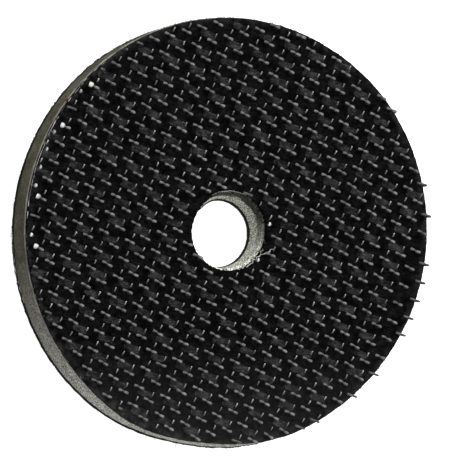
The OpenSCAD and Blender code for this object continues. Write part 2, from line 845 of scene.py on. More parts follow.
def tube(path: Sequence[Vector], radii: Sequence[float], sides: int) -> Shape:
    """Put a round skin on a path, closed at both ends.

    Args:
        path: The points that it follows.
        radii: Its radius at each point.
        sides: How many sides it has.

    Returns:
        Its vertices and faces.
    """
    vertices: list[Vector] = []
    faces: list[list[int]] = []
    side = Vector((0.0, 0.0, 1.0))
    for number, (point, radius) in enumerate(zip(path, radii)):
        before, after = path[max(number - 1, 0)], path[min(number + 1, len(path) - 1)]
        heading = (after - before).normalized()
        side = side - heading * side.dot(heading)
        if side.length < 1e-6:
            side = heading.orthogonal()
        side.normalize()
        other = heading.cross(side)
        for corner in range(sides):
            turn = math.tau * corner / sides
            vertices.append(
                point + (side * math.cos(turn) + other * math.sin(turn)) * radius
            )
    for ring in range(len(path) - 1):
        for corner in range(sides):
            here, beside = ring * sides + corner, ring * sides + (corner + 1) % sides
            faces.append([here, beside, beside + sides, here + sides])
    faces.append(list(range(sides))[::-1])
    faces.append(list(range((len(path) - 1) * sides, len(path) * sides)))
    return vertices, faces


def merge(
    name: str, parts: Sequence[Shape], strain_and_glint: Sequence[Sequence[float]] = ()
) -> bpy.types.Object:
    """Join loose closed shapes into one object.

    Args:
        name: The object's name.
        parts: Vertices and faces of each shape.
        strain_and_glint: For each shape, how whitened each of its vertices is, by strain and by
            painted glint.

    Returns:
        The object.
    """
    vertices: list[Vector] = []
    faces: list[list[int]] = []
    for points, sides in parts:
        start = len(vertices)
        vertices.extend(points)
        faces.extend([[start + corner for corner in side] for side in sides])
    return make_object(name, vertices, faces, [s for part in strain_and_glint for s in part])


def dress(
    thing: bpy.types.Object,
    material: bpy.types.Material,
    nodes: Sequence[str] = (),
) -> None:
    """Give a finished piece its material and its body, and hide the CAD nodes that it stands for.

    Args:
        thing: The piece.
        material: Its finish.
        nodes: The CAD nodes that it stands for.
    """
    thing.data.materials.clear()
    thing.data.materials.append(material)
    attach(thing, BODY)
    if nodes:
        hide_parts(*nodes)
    LOG.info("%s: %d faces", thing.name, len(thing.data.polygons))


# --------------------------------------------------------------------------
# Strands that repeat
# --------------------------------------------------------------------------


@dataclass(frozen=True)
class Strand:
    """One bent filament, by the four controls of its curve.

    Between the two shares of kink_at the filament steps aside by the kink and
    narrows by the waist; it is whitened on either side of them as a painted
    highlight, and towards its tip as a painted glint on the hooks.
    """

    controls: Sequence[Vector]
    steps: int
    strain_and_glint_from: float = 1.0
    strain_and_glint: float = 0.0
    flare: float = 0.0
    width: float = 1.0
    kink: float = 0.0
    kink_at: tuple[float, float] = (0.74, 0.80)
    lobe_highlight: float = 0.0
    waist: float = 0.0


def in_mm(*points: tuple[float, float, float]) -> list[Vector]:
    """Turn points in millimetres into metres.

    Args:
        points: Three coordinates of each.

    Returns:
        The points.
    """
    return [Vector(point) * MM for point in points]


class PointTree(Graph):
    """Geometry Nodes that repeat a shape on points, with named inputs."""

    def __init__(self, name: str, sizes: Sequence[tuple[str, str, object]]) -> None:
        """Make the tree with its inputs.

        Args:
            name: The tree's name.
            sizes: Each input's name, its socket's type and its first value.
        """
        super().__init__(bpy.data.node_groups.new(name, "GeometryNodeTree"))
        face = self.tree.interface
        face.new_socket("Points", in_out="INPUT", socket_type="NodeSocketGeometry")
        self.sockets: dict[str, str] = {}
        for label, kind, value in (*sizes, ("Finish", "NodeSocketMaterial", None)):
            socket = face.new_socket(label, in_out="INPUT", socket_type=kind)
            if value is not None:
                socket.default_value = value
            self.sockets[label] = socket.identifier
        face.new_socket("Copies", in_out="OUTPUT", socket_type="NodeSocketGeometry")
        self.given = self.tree.nodes.new("NodeGroupInput").outputs

    def random(self, spread: str, salt: int) -> Socket:
        """Give each point its own number.

        Args:
            spread: The input that says how far either way it may go.
            salt: Sets this number apart from the point's others.

        Returns:
            The number.
        """
        inputs: Inputs = {
            "Min_001": self.times(self.given[spread], -1.0),
            "Max_001": self.given[spread],
            "Seed": self.plus(self.given["Seed"], float(salt)),
        }
        node = self.add("FunctionNodeRandomValue", inputs, data_type="FLOAT")
        return self.output(node, "Value_001")

    def scatter(
        self, shape: Socket, angles: Inputs, salt: int, chosen: Inputs | None = None
    ) -> Socket:
        """Put a copy of a shape on each point, each a little larger or smaller.

        Args:
            shape: The shape.
            angles: Its turns about X, Y and Z, by their numbers.
            salt: Which random sizes.
            chosen: Which points get one, as the Selection input.

        Returns:
            The copies.
        """
        turned = self.add("ShaderNodeCombineXYZ", angles)
        rotation = self.add("FunctionNodeEulerToRotation", {0: turned.outputs[0]})
        inputs: Inputs = {
            "Points": self.given["Points"],
            "Instance": shape,
            "Rotation": rotation.outputs[0],
            "Scale": self.plus(1.0, self.random("Size Spread", salt)),
        }
        return self.add(
            "GeometryNodeInstanceOnPoints", {**inputs, **(chosen or {})}
        ).outputs[0]

    def end_with(self, copies: Socket) -> None:
        """Make the copies real, smooth and finished, and give them out.

        Args:
            copies: The copies.
        """
        real = self.add("GeometryNodeRealizeInstances", {0: copies})
        smooth = self.add("GeometryNodeSetShadeSmooth", {0: real.outputs[0]})
        done = self.add(
            "GeometryNodeSetMaterial",
            {"Geometry": smooth.outputs[0], "Material": self.given["Finish"]},
        )
        self.add("NodeGroupOutput", {0: done.outputs[0]})

    def keep(
        self, name: str, feet: bpy.types.Mesh, sizes: dict[str, object]
    ) -> bpy.types.Object:
        """Run the tree on points and keep the result as a plain mesh.

        Args:
            name: The piece's name.
            feet: The points.
            sizes: Values of the tree's named inputs.

        Returns:
            The piece.
        """
        holder = bpy.data.objects.new(name, feet)
        bpy.context.scene.collection.objects.link(holder)
        modifier = holder.modifiers.new("copies", "NODES")
        modifier.node_group = self.tree
        for label, value in sizes.items():
            modifier[self.sockets[label]] = value
        mesh = bpy.data.meshes.new_from_object(
            holder.evaluated_get(bpy.context.evaluated_depsgraph_get())
        )
        holder.modifiers.clear()
        holder.data = mesh
        mesh.name = name
        bpy.data.meshes.remove(feet)
        return holder


class StrandTree(PointTree):
    """Geometry Nodes that stand bent filaments on marked points.

    The points carry the attribute "kind", the number of the strand that stands
    there, "turn", its heading about Z, and "push", how far its top is bent aside.
    """

    SIZES: ClassVar[tuple[tuple[str, str, object], ...]] = (
        ("Filament Radius", "NodeSocketFloat", 0.11 * MM),
        ("Foot Height", "NodeSocketFloat", 0.0),
        ("Full Height", "NodeSocketFloat", 1.3 * MM),
        ("Sway", "NodeSocketFloat", 0.1 * MM),
        ("Sway Size", "NodeSocketFloat", 1.2 * MM),
        ("Turn Spread", "NodeSocketFloat", 0.1),
        ("Lean Spread", "NodeSocketFloat", 0.06),
        ("Size Spread", "NodeSocketFloat", 0.05),
        ("Taper", "NodeSocketFloat", 1.0),
        ("Sides", "NodeSocketInt", 6),
        ("Seed", "NodeSocketInt", 1),
    )
    CROWN: ClassVar[tuple[float, float]] = (0.36, 0.46)
    TIP: ClassVar[tuple[float, float, float]] = (0.78, 0.84, 0.88)
    LOBE_FADE: ClassVar[float] = 0.05
    WAIST_FADE: ClassVar[float] = 0.08

    def __init__(self, name: str, strands: Sequence[Strand]) -> None:
        """Build the tree.

        Args:
            name: The tree's name.
            strands: The filaments, in the order of their "kind" numbers.
        """
        super().__init__(name, self.SIZES)
        parts = [self._stand(number, strand) for number, strand in enumerate(strands)]
        joined = self.add("GeometryNodeJoinGeometry")
        for part in parts:
            self.tree.links.new(part, joined.inputs[0])
        lines = self.add("GeometryNodeRealizeInstances", {0: joined.outputs[0]})
        self.end_with(self._skin(self._sway(lines.outputs[0])))

    def _named(self, name: str, kind: str = "FLOAT") -> Socket:
        """Read an attribute that the points carry.

        Args:
            name: The attribute's name.
            kind: Its data type.

        Returns:
            Its value.
        """
        node = self.add("GeometryNodeInputNamedAttribute", {"Name": name}, data_type=kind)
        return node.outputs["Attribute"]

    def _stand(self, number: int, strand: Strand) -> Socket:
        """Stand one kind of filament on its points.

        Args:
            number: Its kind.
            strand: Its shape.

        Returns:
            The instances.
        """
        start, rise, fall, end = (tuple(point) for point in strand.controls)
        line = self.add(
            "GeometryNodeCurvePrimitiveBezierSegment",
            {
                "Resolution": strand.steps,
                "Start": start,
                "Start Handle": rise,
                "End Handle": fall,
                "End": end,
            },
        )
        dotted = self.add(
            "GeometryNodeResampleCurve", {"Curve": line.outputs[0]}, mode="EVALUATED"
        )
        share = self.add("GeometryNodeSplineParameter").outputs["Factor"]
        half = 0.5 * strand.kink
        aside = self.spread(share, *strand.kink_at, -half, half)
        offset = self.add("ShaderNodeCombineXYZ", {1: aside}).outputs[0]
        marked = self.add(
            "GeometryNodeSetPosition", {"Geometry": dotted.outputs[0], "Offset": offset}
        )
        for label, value in (
            ("strain_and_glint", self._whitening_and_highlights(share, strand)),
            ("thick", self._thick(share, strand)),
        ):
            marked = self.add(
                "GeometryNodeStoreNamedAttribute",
                {"Geometry": marked.outputs[0], "Name": label, "Value": value},
                data_type="FLOAT",
            )
        mine = self.add(
            "FunctionNodeCompare",
            {"A": self._named("kind"), "B": float(number), "Epsilon": 0.1},
            operation="EQUAL",
        )
        angles: Inputs = {
            0: self.random("Lean Spread", 13 + number),
            1: self.random("Lean Spread", 23 + number),
            2: self.plus(self._named("turn"), self.random("Turn Spread", 3 + number)),
        }
        chosen: Inputs = {"Selection": mine.outputs[0]}
        return self.scatter(marked.outputs[0], angles, 33 + number, chosen)

    def _whitening_and_highlights(self, share: Socket, strand: Strand) -> Socket:
        """Whiten the tip and the two lobes beside the kink: on the hooks a painted glint and a
        painted highlight.

        Args:
            share: How far along the filament a point is.
            strand: The filament.

        Returns:
            How whitened the point is.
        """
        before, after = strand.kink_at
        lobes = self.plus(
            self.spread(share, before - self.LOBE_FADE, before, strand.lobe_highlight, 0.0),
            self.spread(share, after, after + self.LOBE_FADE, 0.0, 0.5 * strand.lobe_highlight),
        )
        return self.plus(
            self.spread(share, strand.strain_and_glint_from, self.TIP[2], 0.0, strand.strain_and_glint),
            self.times(self.spread(share, *self.CROWN), lobes),
        )

    def _thick(self, share: Socket, strand: Strand) -> Socket:
        """Narrow the filament at its kink and flare its tip.

        Args:
            share: How far along the filament a point is.
            strand: The filament.

        Returns:
            The factor of its radius there.
        """
        before, after = strand.kink_at
        waist = strand.waist
        narrow = self.plus(
            self.spread(share, before - self.WAIST_FADE, before, 0.0, waist),
            self.spread(share, after, after + self.WAIST_FADE, 0.0, -waist),
        )
        flared = strand.width * (1.0 + strand.flare)
        return self.times(
            self.spread(share, *self.TIP[:2], strand.width, flared),
            self.maths("SUBTRACT", 1.0, narrow),
        )

    def _sway(self, lines: Socket) -> Socket:
        """Bend every filament its own way, more with its height.

        Args:
            lines: The filaments as curves.

        Returns:
            The bent curves.
        """
        place = self.add("GeometryNodeInputPosition").outputs[0]
        scaled = self.vector("DIVIDE", place, self._triple(self.given["Sway Size"]))
        noise = self.add(
            "ShaderNodeTexNoise", {"Vector": scaled, "Scale": 1.0, "Detail": 1.0}
        )
        centred = self.vector("SUBTRACT", noise.outputs["Color"], (0.5, 0.5, 0.5))
        height = self.add("ShaderNodeSeparateXYZ", {0: place}).outputs[2]
        above = self.maths("SUBTRACT", height, self.given["Foot Height"])
        share = self.maths("DIVIDE", above, self.given["Full Height"])
        reach = self.times(self.maths("ABSOLUTE", share), self.given["Sway"])
        sway = self.vector("MULTIPLY", centred, self._triple(reach))
        bent = self.vector(
            "MULTIPLY", self._named("push", "FLOAT_VECTOR"), self._triple(share)
        )
        inputs: Inputs = {"Geometry": lines, "Offset": self.vector("ADD", sway, bent)}
        return self.add("GeometryNodeSetPosition", inputs).outputs[0]

    def _triple(self, value: Socket) -> Socket:
        """Use one number for all three axes.

        Args:
            value: The number.

        Returns:
            The vector.
        """
        return self.add("ShaderNodeCombineXYZ", dict.fromkeys(range(3), value)).outputs[0]

    def _skin(self, lines: Socket) -> Socket:
        """Give the filaments their round skin.

        Args:
            lines: The filaments as curves.

        Returns:
            The skins.
        """
        ring = self.add(
            "GeometryNodeCurvePrimitiveCircle",
            {"Resolution": self.given["Sides"], "Radius": self.given["Filament Radius"]},
        )
        share = self.add("GeometryNodeSplineParameter").outputs["Factor"]
        less = self.maths("SUBTRACT", 1.0, self.given["Taper"])
        taper = self.maths("SUBTRACT", 1.0, self.times(share, less))
        inputs: Inputs = {
            "Curve": lines,
            "Profile Curve": ring.outputs[0],
            "Scale": self.times(self._named("thick"), taper),
            "Fill Caps": True,
        }
        return self.add("GeometryNodeCurveToMesh", inputs).outputs[0]

    def grow(
        self,
        name: str,
        points: np.ndarray,
        kinds: Sequence[int],
        turns: Sequence[float],
        material: bpy.types.Material,
        sizes: dict[str, float],
        pushes: np.ndarray | None = None,
    ) -> bpy.types.Object:
        """Stand the filaments on points and keep the result as a plain mesh.

        Args:
            name: The piece's name.
            points: Where the filaments' feet are.
            kinds: Which filament stands on each point.
            turns: Its heading about Z.
            material: Its finish.
            sizes: Values of the tree's named inputs.
            pushes: How far each filament's top is bent aside.

        Returns:
            The piece.
        """
        feet = bpy.data.meshes.new(name)
        feet.from_pydata(np.asarray(points).tolist(), [], [])
        for label, values in (("kind", kinds), ("turn", turns)):
            layer = feet.attributes.new(label, "FLOAT", "POINT")
            layer.data.foreach_set("value", np.asarray(values, dtype=float))
        push = feet.attributes.new("push", "FLOAT_VECTOR", "POINT")
        bent = np.zeros((len(points), 3)) if pushes is None else pushes
        push.data.foreach_set("vector", np.asarray(bent, dtype=float).ravel())
        return self.keep(name, feet, {**sizes, "Finish": material})


class FloatTree(PointTree):
    """Geometry Nodes that lay a soft pillow of yarn on each point."""

    SIZES: ClassVar[tuple[tuple[str, str, object], ...]] = (
        ("Size", "NodeSocketVector", (2.05 * MM, 0.92 * MM, 0.2 * MM)),
        ("Turn", "NodeSocketFloat", 0.0),
        ("Turn Spread", "NodeSocketFloat", 0.06),
        ("Size Spread", "NodeSocketFloat", 0.14),
        ("Seed", "NodeSocketInt", 4),
    )

    def __init__(self) -> None:
        """Build the tree."""
        super().__init__("weft_floats", self.SIZES)
        block = self.add(
            "GeometryNodeMeshCube",
            {"Size": self.given["Size"], "Vertices X": 4, "Vertices Y": 3, "Vertices Z": 2},
        )
        soft = self.add(
            "GeometryNodeSubdivisionSurface", {"Mesh": block.outputs["Mesh"], "Level": 1}
        )
        turn = self.plus(self.given["Turn"], self.random("Turn Spread", 1))
        self.end_with(self.scatter(soft.outputs[0], {2: turn}, 2))

    def grow(
        self, name: str, points: np.ndarray, turn: float, material: bpy.types.Material
    ) -> bpy.types.Object:
        """Lay the pillows and keep them as a plain mesh.

        Args:
            name: The piece's name.
            points: Where the pillows' middles are.
            turn: Which way they lie, in radians from X.
            material: Their finish.

        Returns:
            The piece.
        """
        feet = bpy.data.meshes.new(name)
        feet.from_pydata(points.tolist(), [], [])
        return self.keep(name, feet, {"Turn": turn, "Finish": material})


# --------------------------------------------------------------------------
# What the frame says
# --------------------------------------------------------------------------


@dataclass(frozen=True)
class Layer:
    """The flat ring that one CAD layer fills."""

    node: str
    low: float
    high: float
    hole_r: float
    outer_r: float

    @classmethod
    def of(cls, frame: dict, node: str) -> Layer:
        """Measure a layer's CAD node.

        Args:
            frame: The loaded frame.
            node: The node's name.

        Returns:
            The layer.
        """
        low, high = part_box(node)
        radii = np.hypot(*vertices_of(frame, node)[:, :2].T)
        return cls(node, low.z, high.z, float(radii.min()), float(radii.max()))

    @property
    def area(self) -> float:
        """The area of one of its faces."""
        return math.pi * (self.outer_r**2 - self.hole_r**2)

    def section(self, steps: Sequence[float], lift: float = 0.0) -> np.ndarray:
        """Outline the section that sweeps the layer.

        Args:
            steps: The longest piece of its underside, rim, top and hole wall.
            lift: How far above the layer's underside the section starts.

        Returns:
            One row of radius and height for each point round the section.
        """
        low = self.low + lift
        corners = [
            (self.hole_r, low),
            (self.outer_r, low),
            (self.outer_r, self.high),
            (self.hole_r, self.high),
        ]
        return walk(corners, steps)

    def walls(self, radius: np.ndarray) -> tuple[np.ndarray, np.ndarray]:
        """Find the points on the layer's walls.

        Args:
            radius: The points' distances from the axis.

        Returns:
            Which of them lie on the rim, and which on the hole's wall.
        """
        return radius > self.outer_r - ON_WALL, radius < self.hole_r + ON_WALL


def vertices_of(frame: dict, node: str) -> np.ndarray:
    """Read the vertices of a CAD node.

    Args:
        frame: The loaded frame.
        node: The node's name.

    Returns:
        One row of three coordinates for each vertex.
    """
    return coordinates(frame["nodes"][node].data)


def coordinates(mesh: bpy.types.Mesh) -> np.ndarray:
    """Read the vertices of a mesh.

    Args:
        mesh: The mesh.

    Returns:
        One row of three coordinates for each vertex.
    """
    flat = np.empty(3 * len(mesh.vertices))
    mesh.vertices.foreach_get("co", flat)
    return flat.reshape(-1, 3)


@dataclass
class HookRow:
    """One row of hooks, read from its CAD node."""

    node: str
    stems: np.ndarray
    legs: np.ndarray


@dataclass
class HookPlan:
    """Where all the hooks of the face stand, and which way they point."""

    foot: float
    tip_height: float
    angle: float
    rows: list[HookRow]
    filament_r: float
    width: float
    pitch: float
    row_pitch: float
    AT_FOOT: ClassVar[float] = 0.02 * MM
    AT_TIP: ClassVar[float] = 0.6 * MM
    AT_CROWN: ClassVar[float] = 0.7 * MM
    STEM: ClassVar[float] = 0.5 * MM
    SIDE: ClassVar[float] = 0.55 * MM

    @classmethod
    def of(cls, frame: dict) -> HookPlan:
        """Measure the hook rows' CAD nodes.

        Args:
            frame: The loaded frame.

        Returns:
            The plan.
        """
        names = sorted(name for name in frame["nodes"] if name.startswith("hook_row"))
        clouds = {name: vertices_of(frame, name) for name in names}
        foot = min(cloud[:, 2].min() for cloud in clouds.values())
        top = max(cloud[:, 2].max() for cloud in clouds.values())
        longest = max(clouds.values(), key=lambda cloud: np.ptp(cloud[:, 1]))
        angle = cls._heading(longest, foot)
        rows = [cls._row(name, clouds[name], foot, angle) for name in names]
        stems = max((row.stems for row in rows), key=len)
        pitch = float(np.median(np.diff(np.sort(cls.turned(stems, angle)[:, 1]))))
        local = cls.turned(longest, angle)
        feet = local[longest[:, 2] < foot + cls.AT_FOOT]
        tips = local[longest[:, 2] > foot + cls.AT_TIP]
        stem = feet[feet[:, 0] > feet[:, 0].max() - cls.STEM][:, 0]
        filament_r = 0.5 * float(np.ptp(stem))
        width = float(feet[:, 0].max() - tips[:, 0].min())
        across = np.sort([cls.turned(row.stems, angle)[:, 0].mean() for row in rows])
        row_pitch = float(np.median(np.diff(across)))
        return cls(foot, top, angle, rows, filament_r, width, pitch, row_pitch)

    def lines(self) -> list[tuple[float, float, np.ndarray]]:
        """List the lines that the rows follow, with one more at either side.

        Returns:
            For each line, its place across the rows, the place along it of one
            hook, and the places along it of the stems that stand there.
        """
        found = []
        for row in self.rows:
            across, along = self.turned(row.stems, self.angle).T
            found.append((float(across.mean()), float(along.min()), along))
        found.sort(key=lambda line: line[0])
        nothing = np.empty(0)
        first, last = found[0], found[-1]
        half = 0.5 * self.pitch
        return [
            (first[0] - self.row_pitch, first[1] + half, nothing),
            *found,
            (last[0] + self.row_pitch, last[1] + half, nothing),
        ]

    @staticmethod
    def turned(points: np.ndarray, angle: float) -> np.ndarray:
        """Give points their place across and along the rows.

        Args:
            points: One row of X and Y for each point.
            angle: The direction across the rows, in radians from X.

        Returns:
            One row of the two places for each point.
        """
        cosine, sine = math.cos(angle), math.sin(angle)
        across = points[:, 0] * cosine + points[:, 1] * sine
        along = -points[:, 0] * sine + points[:, 1] * cosine
        return np.stack([across, along], axis=1)

    @classmethod
    def _heading(cls, cloud: np.ndarray, foot: float) -> float:
        """Find the direction across the rows.

        Args:
            cloud: The vertices of one long row.
            foot: The height of the hooks' feet.

        Returns:
            The direction, in radians from X.
        """
        feet = cloud[cloud[:, 2] < foot + cls.AT_FOOT][:, :2]
        spread = np.linalg.svd(feet - feet.mean(axis=0), full_matrices=False)[2][0]
        angle = math.atan2(spread[1], spread[0]) - math.pi / 2
        angle = (angle + math.pi / 2) % math.pi - math.pi / 2
        local = cls.turned(feet, angle)
        edge = local[local[:, 0] > local[:, 0].max() - cls.SIDE]
        slope = np.polyfit(edge[:, 1], edge[:, 0], 1)[0]
        return angle - math.atan(slope)

    @classmethod
    def _row(cls, name: str, cloud: np.ndarray, foot: float, angle: float) -> HookRow:
        """Find the feet of one row's stems and cut legs.

        Args:
            name: The row's CAD node.
            cloud: Its vertices.
            foot: The height of the hooks' feet.
            angle: The direction across the rows, in radians from X.

        Returns:
            The row.
        """
        local = cls.turned(cloud, angle)
        feet = local[cloud[:, 2] < foot + cls.AT_FOOT]
        high = local[cloud[:, 2] > foot + cls.AT_CROWN]
        middle = 0.5 * (high[:, 0].max() + high[:, 0].min())
        stems, legs = feet[feet[:, 0] > middle], feet[feet[:, 0] <= middle]
        return HookRow(name, cls._middles(stems, angle), cls._middles(legs, angle))

    @classmethod
    def _middles(cls, points: np.ndarray, angle: float) -> np.ndarray:
        """Find the middles of separate feet.

        Args:
            points: The places across and along the rows of the feet's vertices.
            angle: The direction across the rows, in radians from X.

        Returns:
            One row of X and Y for each foot.
        """
        if not len(points):
            return np.empty((0, 2))
        points = points[np.argsort(points[:, 1])]
        breaks = np.nonzero(np.diff(points[:, 1]) > cls.STEM)[0] + 1
        feet = np.split(points, breaks)
        middles = [0.5 * (foot.max(axis=0) + foot.min(axis=0)) for foot in feet]
        return cls.turned(np.array(middles), -angle)


# --------------------------------------------------------------------------
# Sub-assemblies
# --------------------------------------------------------------------------


@dataclass(frozen=True)
class Slant:
    """How far the die leaned as it went through: the back lies off centre.

    The cut also left flats on the rims of the soft layers and nips in their hole.
    """

    top: float
    aside: tuple[float, float] = (0.24 * MM, -0.42 * MM)
    FLATS: ClassVar[tuple[Hump, ...]] = (
        (112.0, 17.0, 0.22 * MM),
        (150.0, 22.0, 0.10 * MM),
        (259.0, 14.0, 0.26 * MM),
    )
    NIPS: ClassVar[tuple[Hump, ...]] = ((128.0, 24.0, 0.42 * MM), (165.0, 25.0, 0.14 * MM))

    def flat(self, angle: np.ndarray) -> np.ndarray:
        """Tell how far the rim falls short.

        Args:
            angle: Angles round the axis, in radians.

        Returns:
            The distance at each angle.
        """
        return humps(angle, self.FLATS)

    def nip(self, angle: np.ndarray) -> np.ndarray:
        """Tell how far the hole's wall stands in.

        Args:
            angle: Angles round the axis, in radians.

        Returns:
            The distance at each angle.
        """
        return humps(angle, self.NIPS)

    def lean(self, thing: bpy.types.Object) -> None:
        """Shear a piece, more the lower it lies.

        Args:
            thing: The piece.
        """
        mesh = thing.data
        points = coordinates(mesh)
        depth = np.clip(1.0 - points[:, 2] / self.top, 0.0, 1.1)
        points[:, 0] += self.aside[0] * depth
        points[:, 1] += self.aside[1] * depth
        mesh.vertices.foreach_set("co", points.ravel())
        mesh.update()


@dataclass
class FoamCore:
    """The foam ring: its wall bellies out low down, as a die leaves it."""

    layer: Layer
    top_r: float
    slant: Slant
    belly: float = 0.04 * MM
    hole_narrow: float = 0.09 * MM
    hole_flare: float = 0.36 * MM
    uneven: float = 0.045 * MM
    shrink: float = 0.10 * MM
    # How far down the hole's wall the band of glue stain and painted shade reaches.
    glue_stain_shade_depth: float = 1.7 * MM

    def build(self) -> bpy.types.Object:
        """Build and dress the foam.

        Returns:
            The foam piece.
        """
        layer = self.layer
        section = layer.section([COARSE, 0.16 * MM, COARSE, 0.16 * MM])
        foam = ring_shell("foam_core_body", section, PLAIN_TURNS, self._shape)
        self.slant.lean(foam)
        glue_stain_shade_from = layer.high - self.glue_stain_shade_depth
        finish = FoamFinish().material(layer.hole_r, layer.outer_r, glue_stain_shade_from)
        dress(foam, finish, [layer.node])
        return foam

    def _shape(
        self, radius: np.ndarray, height: np.ndarray, angle: np.ndarray
    ) -> tuple[np.ndarray, np.ndarray]:
        """Give the walls their flare and their unevenness.

        Args:
            radius: The points' distances from the axis.
            height: Their heights.
            angle: Their angles, in radians.

        Returns:
            Their new distances and heights.
        """
        layer = self.layer
        rise = np.clip((height - layer.low) / (layer.high - layer.low), 0.0, 1.0)
        outer, hole = layer.walls(radius)
        wave = ripple(angle, 5, (2, 3, 5, 9, 17, 31, 47))
        fine = ripple(angle + 0.7 * rise, 8, (83, 127, 191)) * np.sin(9.0 * rise + angle)
        wall = (
            layer.outer_r
            + self.belly * np.sin(math.pi * (0.2 + 0.6 * rise))
            - (layer.outer_r - self.top_r) * rise**1.6
            + self.uneven * (0.7 * wave + 0.35 * fine)
            - self.shrink
            - self.slant.flat(angle) * (1.0 - 0.5 * rise)
        )
        bore = (
            layer.hole_r
            - self.hole_narrow
            + self.hole_flare * rise**1.4
            + 0.03 * MM * ripple(angle, 11, (2, 3, 7, 13))
            + 0.015 * MM * fine
            - self.slant.nip(angle) * (1.0 - rise)
        )
        return np.where(outer, wall, np.where(hole, bore, radius)), height


@dataclass
class ThinRing:
    """A film or coat between two layers, seen only at its edges."""

    name: str
    layer: Layer
    stand_out: float
    seed: int
    slant: Slant

    def build(self, material: bpy.types.Material, slot: str) -> bpy.types.Object:
        """Build and dress the ring.

        Args:
            material: Its finish.
            slot: The record's material slot; not used.

        Returns:
            The ring.
        """
        section = self.layer.section([COARSE, 0.05 * MM, COARSE, 0.05 * MM])
        ring = ring_shell(self.name, section, FINE_TURNS, self._shape)
        self.slant.lean(ring)
        dress(ring, material, [self.layer.node])
        return ring

    def _shape(
        self, radius: np.ndarray, height: np.ndarray, angle: np.ndarray
    ) -> tuple[np.ndarray, np.ndarray]:
        """Make the two edges ragged.

        Args:
            radius: The points' distances from the axis.
            height: Their heights.
            angle: Their angles, in radians.

        Returns:
            Their new distances and heights.
        """
        outer, hole = self.layer.walls(radius)
        ragged = 0.03 * MM * ripple(angle, self.seed, (7, 19, 41, 77, 121))
        reach = self.stand_out + ragged
        recess = 0.08 * MM + 0.5 * ragged
        if self.layer.high < 0.5 * self.slant.top:
            reach = reach - self.slant.flat(angle)
            recess = recess - 0.9 * self.slant.nip(angle)
        inner = np.where(hole, radius + recess, radius)
        return np.where(outer, radius + reach, inner), height


